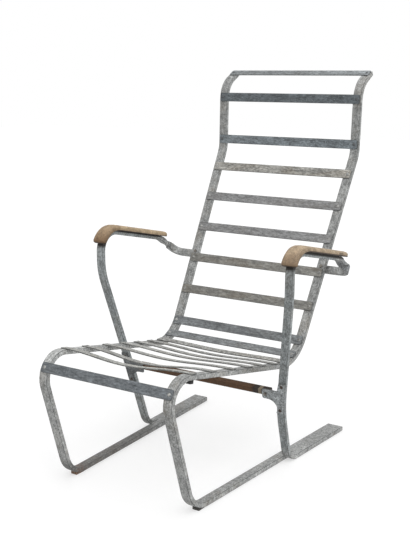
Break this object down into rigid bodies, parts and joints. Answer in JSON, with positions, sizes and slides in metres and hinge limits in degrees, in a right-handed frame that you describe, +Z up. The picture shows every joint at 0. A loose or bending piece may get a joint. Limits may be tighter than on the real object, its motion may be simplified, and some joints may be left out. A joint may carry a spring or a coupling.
{
  "type": "cantilever lounge chair",
  "caption": "Open garden lounge chair of bent flat aluminium bar with riveted metal slats, a leaning back, sprung seat front and bent wooden armrests.",
  "frame": {"origin": "on the floor under the middle of the chair's box", "axes": "+X to the sitter's left, +Y from the seat's front to the back, +Z up"},
  "size_m": [0.656, 0.9909, 1.0646],
  "materials": {
    "weathered_bar": "weathered, dull, with a blue-grey patina",
    "weathered_slat": "weathered, dull, darker blue-grey",
    "rivet": "weathered, dull",
    "steel_fastener": "tarnished, rusty at the edges",
    "bleached_wood": "sun-bleached, grain open",
    "dark_wood": "dark, dry",
    "rubber": "matt",
    "rusty_glide": "rusty"
  },
  "bodies": {
    "root": {"frame_right": "weathered_bar", "frame_left": "weathered_bar", "armrest_right": "bleached_wood", "armrest_left": "bleached_wood", "armrest_screws": "steel_fastener", "top_bar": "weathered_slat", "back_slat_1": "weathered_slat", "back_slat_2": "weathered_slat", "back_slat_3": "weathered_slat", "back_slat_4": "weathered_slat", "back_slat_5": "weathered_slat", "back_slat_6": "weathered_slat", "back_slat_7": "weathered_slat", "back_slat_8": "weathered_slat", "back_slat_9": "weathered_slat", "seat_slat_1": "weathered_bar", "seat_slat_2": "weathered_bar", "seat_slat_3": "weathered_bar", "seat_slat_4": "weathered_bar", "seat_slat_5": "weathered_bar", "seat_slat_6": "weathered_bar", "seat_slat_7": "weathered_bar", "front_slat": "weathered_slat", "upper_back_rivets": "rivet", "lower_back_rivets": "rivet", "seat_rivets": "rivet", "front_rivets": "rivet", "bracket_right": "weathered_bar", "bracket_left": "weathered_bar", "bracket_rivets": "rivet", "stretcher": "dark_wood", "stretcher_bolts": "steel_fastener", "stretcher_nuts": "steel_fastener", "arm_bolts": "steel_fastener", "arm_nuts": "steel_fastener", "rail_buffer": "rubber", "post_pads": "rubber", "front_glides": "rusty_glide"}
  },
  "joints": []
}
